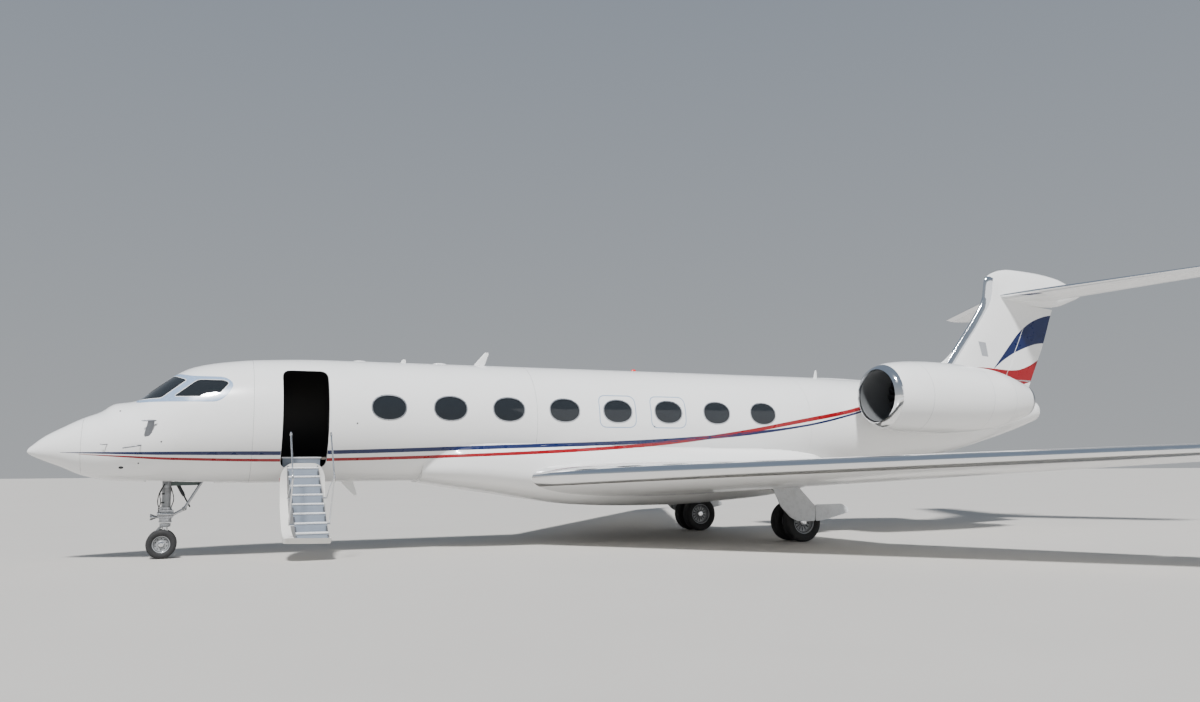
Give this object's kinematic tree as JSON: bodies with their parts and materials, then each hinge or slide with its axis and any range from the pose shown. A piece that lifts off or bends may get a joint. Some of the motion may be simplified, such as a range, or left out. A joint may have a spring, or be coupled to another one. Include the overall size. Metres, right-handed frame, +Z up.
{
  "type": "business jet",
  "caption": "Rear-engined business jet parked on its gear, with T-tail, winglets, oval cabin windows and its airstair let down.",
  "frame": {"origin": "on the ground at the middle of the length, on the centre line between the wing tips", "axes": "+X aft along the fuselage, +Y to starboard, +Z up"},
  "size_m": [30.1, 30.3558, 7.781],
  "materials": {
    "paint_white": "gloss",
    "composite_white": "gloss",
    "tinted_glass": "gloss",
    "tyre_rubber": "matte",
    "gear_steel": "satin",
    "stair_alloy": "satin",
    "engine_dark": "satin",
    "seat_leather": "satin",
    "carpet": "matte",
    "cabin_trim": "satin",
    "panel_dark": "matte"
  },
  "bodies": {
    "airframe": {"radome": "composite_white", "cockpit_shell": "paint_white", "forward_cabin_shell": "paint_white", "aft_cabin_shell": "paint_white", "rear_fuselage": "paint_white", "wing_body_fairing": "composite_white", "cabin_floor": "carpet", "cockpit_bulkhead": "cabin_trim", "entry_partition": "cabin_trim", "aft_bulkhead": "cabin_trim", "instrument_panel": "panel_dark", "port_windshield": "tinted_glass", "port_side_window": "tinted_glass", "port_cabin_windows": "tinted_glass", "port_pilot_seat": "seat_leather", "port_cabin_seats": "seat_leather", "port_wing": "paint_white", "port_nacelle": "paint_white", "port_engine_core": "engine_dark", "port_main_leg": "gear_steel", "port_leg_door": "composite_white", "starboard_windshield": "tinted_glass", "starboard_side_window": "tinted_glass", "starboard_cabin_windows": "tinted_glass", "starboard_pilot_seat": "seat_leather", "starboard_cabin_seats": "seat_leather", "starboard_wing": "paint_white", "starboard_nacelle": "paint_white", "starboard_engine_core": "engine_dark", "starboard_main_leg": "gear_steel", "starboard_leg_door": "composite_white", "fin": "paint_white", "tailplane": "composite_white", "tail_bullet": "composite_white", "nose_gear_leg": "gear_steel"},
    "airstair": {"airstair_door": "paint_white", "airstair_steps": "stair_alloy"},
    "nose_fork": {"nose_gear_fork": "gear_steel"},
    "nose_wheels": {"nose_wheel_rims": "gear_steel", "port_nose_tyre": "tyre_rubber", "starboard_nose_tyre": "tyre_rubber"},
    "rudder_panel": {"rudder": "composite_white"},
    "port_wheels": {"port_main_rims": "gear_steel", "port_outer_tyre": "tyre_rubber", "port_inner_tyre": "tyre_rubber"},
    "port_fan_rotor": {"port_fan": "engine_dark"},
    "port_elevator_panel": {"port_elevator": "composite_white"},
    "port_aileron_panel": {"port_aileron": "composite_white"},
    "port_inboard_flap_panel": {"port_inboard_flap": "composite_white"},
    "port_outboard_flap_panel": {"port_outboard_flap": "composite_white"},
    "port_airbrake_panel": {"port_airbrake": "composite_white"},
    "starboard_wheels": {"starboard_main_rims": "gear_steel", "starboard_outer_tyre": "tyre_rubber", "starboard_inner_tyre": "tyre_rubber"},
    "starboard_fan_rotor": {"starboard_fan": "engine_dark"},
    "starboard_elevator_panel": {"starboard_elevator": "composite_white"},
    "starboard_aileron_panel": {"starboard_aileron": "composite_white"},
    "starboard_inboard_flap_panel": {"starboard_inboard_flap": "composite_white"},
    "starboard_outboard_flap_panel": {"starboard_outboard_flap": "composite_white"},
    "starboard_airbrake_panel": {"starboard_airbrake": "composite_white"}
  },
  "joints": [
    {"name": "airstair_hinge", "type": "hinge", "parent": "airframe", "child": "airstair", "pos_m": [-9.93, -0.86062, 1.796], "axis": [-1, 0, 0], "range_deg": [0, 135]},
    {"name": "nose_steering", "type": "hinge", "parent": "airframe", "child": "nose_fork", "pos_m": [-12.53, 0, 0.6], "axis": [0, 0, 1], "range_deg": [-80, 80]},
    {"name": "nose_wheel_spin", "type": "hinge", "parent": "nose_fork", "child": "nose_wheels", "pos_m": [-12.565, 0, 0.29], "axis": [0, 1, 0], "continuous": true},
    {"name": "port_wheel_spin", "type": "hinge", "parent": "airframe", "child": "port_wheels", "pos_m": [1.18, -2.46, 0.462], "axis": [0, 1, 0], "continuous": true},
    {"name": "starboard_wheel_spin", "type": "hinge", "parent": "airframe", "child": "starboard_wheels", "pos_m": [1.18, 2.46, 0.462], "axis": [0, 1, 0], "continuous": true},
    {"name": "port_fan_spin", "type": "hinge", "parent": "airframe", "child": "port_fan_rotor", "pos_m": [4.85, -2.3, 3.515], "axis": [0.9986, 0.0523, 0], "continuous": true},
    {"name": "starboard_fan_spin", "type": "hinge", "parent": "airframe", "child": "starboard_fan_rotor", "pos_m": [4.85, 2.3, 3.515], "axis": [0.9986, -0.0523, 0], "continuous": true},
    {"name": "rudder_hinge", "type": "hinge", "parent": "airframe", "child": "rudder_panel", "pos_m": [11.23414, 0, 5.495], "axis": [0.4782, 0, 0.8783], "range_deg": [-25, 25]},
    {"name": "starboard_elevator_hinge", "type": "hinge", "parent": "airframe", "child": "starboard_elevator_panel", "pos_m": [13.39605, 2.785, 7.02539], "axis": [0.4167, 0.9081, 0.0409], "range_deg": [-25, 20]},
    {"name": "port_elevator_hinge", "type": "hinge", "parent": "airframe", "child": "port_elevator_panel", "pos_m": [13.39605, -2.785, 7.02539], "axis": [-0.4167, 0.9081, -0.0409], "range_deg": [-25, 20]},
    {"name": "starboard_aileron_hinge", "type": "hinge", "parent": "airframe", "child": "starboard_aileron_panel", "pos_m": [4.7007, 12.05, 1.91207], "axis": [0.4683, 0.8821, 0.0503], "range_deg": [-25, 25]},
    {"name": "port_aileron_hinge", "type": "hinge", "parent": "airframe", "child": "port_aileron_panel", "pos_m": [4.7007, -12.05, 1.91207], "axis": [-0.4683, 0.8821, -0.0503], "range_deg": [-25, 25]},
    {"name": "starboard_outboard_flap_hinge", "type": "hinge", "parent": "airframe", "child": "starboard_outboard_flap_panel", "pos_m": [2.46391, 7.68, 1.64946], "axis": [0.4459, 0.8934, 0.0555], "range_deg": [0, 39]},
    {"name": "starboard_inboard_flap_hinge", "type": "hinge", "parent": "airframe", "child": "starboard_inboard_flap_panel", "pos_m": [1.37657, 3.3, 1.40067], "axis": [-0.0155, 0.9991, 0.0395], "range_deg": [0, 39]},
    {"name": "port_outboard_flap_hinge", "type": "hinge", "parent": "airframe", "child": "port_outboard_flap_panel", "pos_m": [2.46391, -7.68, 1.64946], "axis": [-0.4459, 0.8934, -0.0555], "range_deg": [0, 39]},
    {"name": "port_inboard_flap_hinge", "type": "hinge", "parent": "airframe", "child": "port_inboard_flap_panel", "pos_m": [1.37657, -3.3, 1.40067], "axis": [0.0155, 0.9991, -0.0395], "range_deg": [0, 39]},
    {"name": "starboard_airbrake_hinge", "type": "hinge", "parent": "airframe", "child": "starboard_airbrake_panel", "pos_m": [1.2887, 6.8, 1.78683], "axis": [-0.4779, -0.8774, -0.042], "range_deg": [0, 50]},
    {"name": "port_airbrake_hinge", "type": "hinge", "parent": "airframe", "child": "port_airbrake_panel", "pos_m": [1.2887, -6.8, 1.78683], "axis": [0.4779, -0.8774, 0.042], "range_deg": [0, 50]}
  ],
  "couplings": [
    {"joint": "port_elevator_hinge", "follows": "starboard_elevator_hinge", "ratio": 1},
    {"joint": "port_aileron_hinge", "follows": "starboard_aileron_hinge", "ratio": -1},
    {"joint": "starboard_inboard_flap_hinge", "follows": "starboard_outboard_flap_hinge", "ratio": 1},
    {"joint": "port_outboard_flap_hinge", "follows": "starboard_outboard_flap_hinge", "ratio": 1},
    {"joint": "port_inboard_flap_hinge", "follows": "starboard_outboard_flap_hinge", "ratio": 1},
    {"joint": "port_airbrake_hinge", "follows": "starboard_airbrake_hinge", "ratio": 1}
  ]
}
